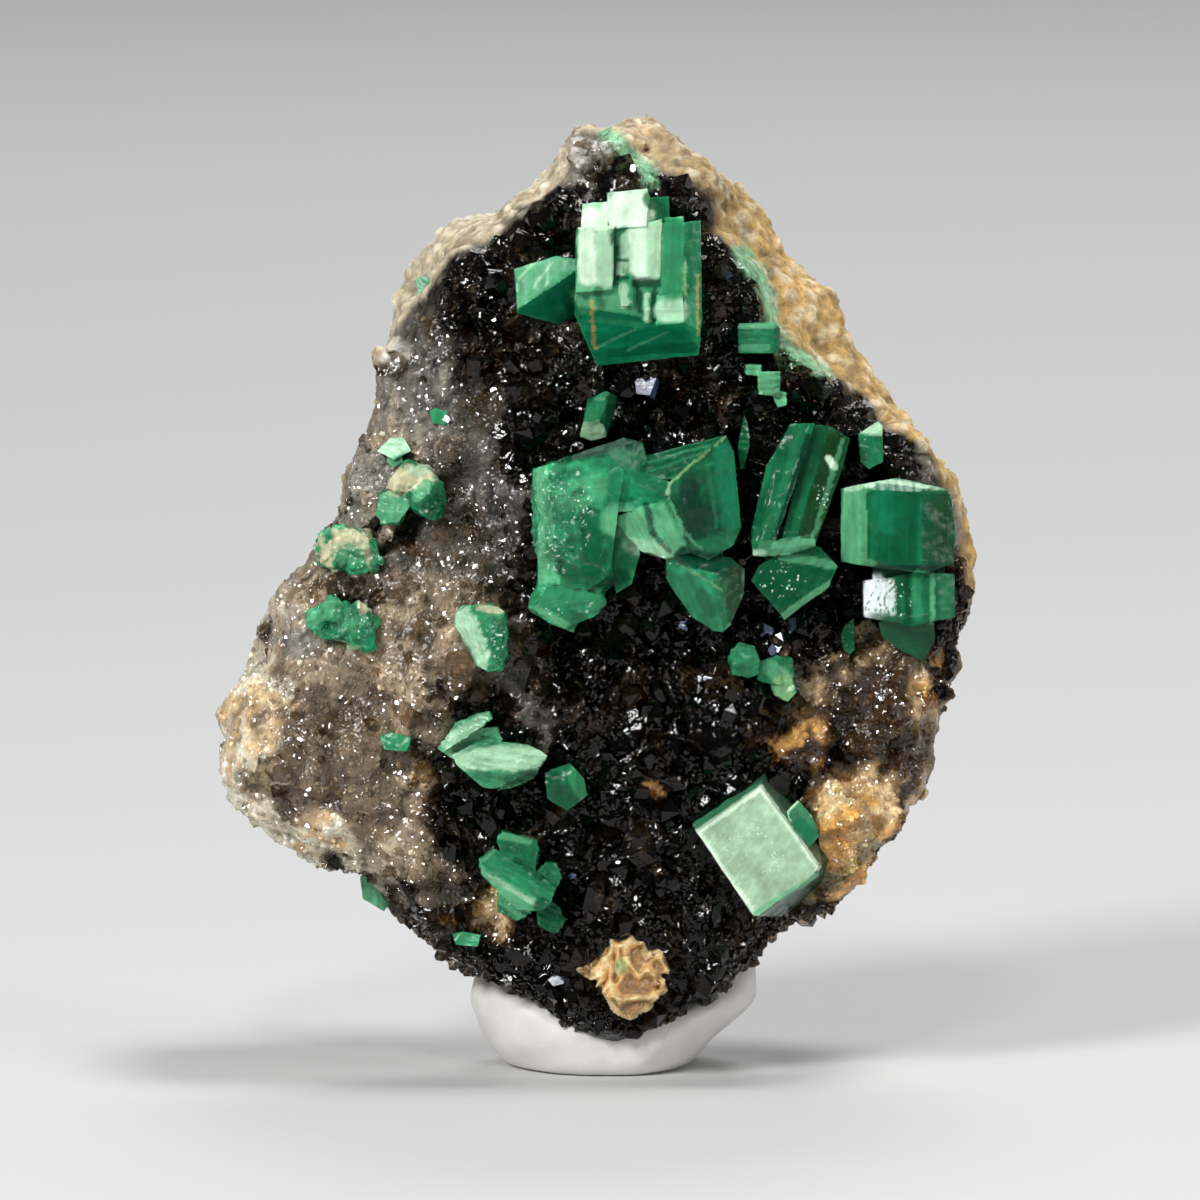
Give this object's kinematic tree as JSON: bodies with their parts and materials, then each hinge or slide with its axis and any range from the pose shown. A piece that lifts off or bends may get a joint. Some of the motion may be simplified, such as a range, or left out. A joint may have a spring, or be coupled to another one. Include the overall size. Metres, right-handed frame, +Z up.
{
  "type": "torbernite mineral specimen",
  "caption": "Green torbernite crystals on a dark quartz druse over weathered rock, standing upright in a lump of putty.",
  "frame": {"origin": "centre of the putty's flat foot, on the surface that the specimen stands on", "axes": "+Z up, the face with the crystals looks towards -Y, +X to the right of that face"},
  "size_m": [0.0256, 0.0141, 0.032],
  "materials": {
    "rock": "dark glassy quartz druse over tan weathered rock",
    "torbernite": "waxy, slightly translucent emerald to mint green crystal",
    "limonite": "matte earthy tan",
    "putty": "matte white tack"
  },
  "bodies": {
    "root": {"barrel_stack": "torbernite", "blade": "torbernite", "central_cluster": "torbernite", "chip_bottom": "torbernite", "chip_left": "torbernite", "chip_upper_left": "torbernite", "crusted_block": "torbernite", "edge_block": "torbernite", "flake_upper_left": "torbernite", "hexagonal_prism": "torbernite", "left_blocks": "torbernite", "left_flakes": "torbernite", "limonite_patch": "limonite", "matrix": "rock", "notched_block": "torbernite", "pitted_bead": "torbernite", "putty": "putty", "rough_bead_lower": "torbernite", "rough_bead_upper": "torbernite", "seam_block_lower": "torbernite", "seam_block_upper": "torbernite", "sheaf": "torbernite", "small_prism": "torbernite", "square_plate": "torbernite", "stacked_plates": "torbernite", "striated_pair": "torbernite", "twin_beads": "torbernite", "upper_cluster": "torbernite"}
  },
  "joints": []
}
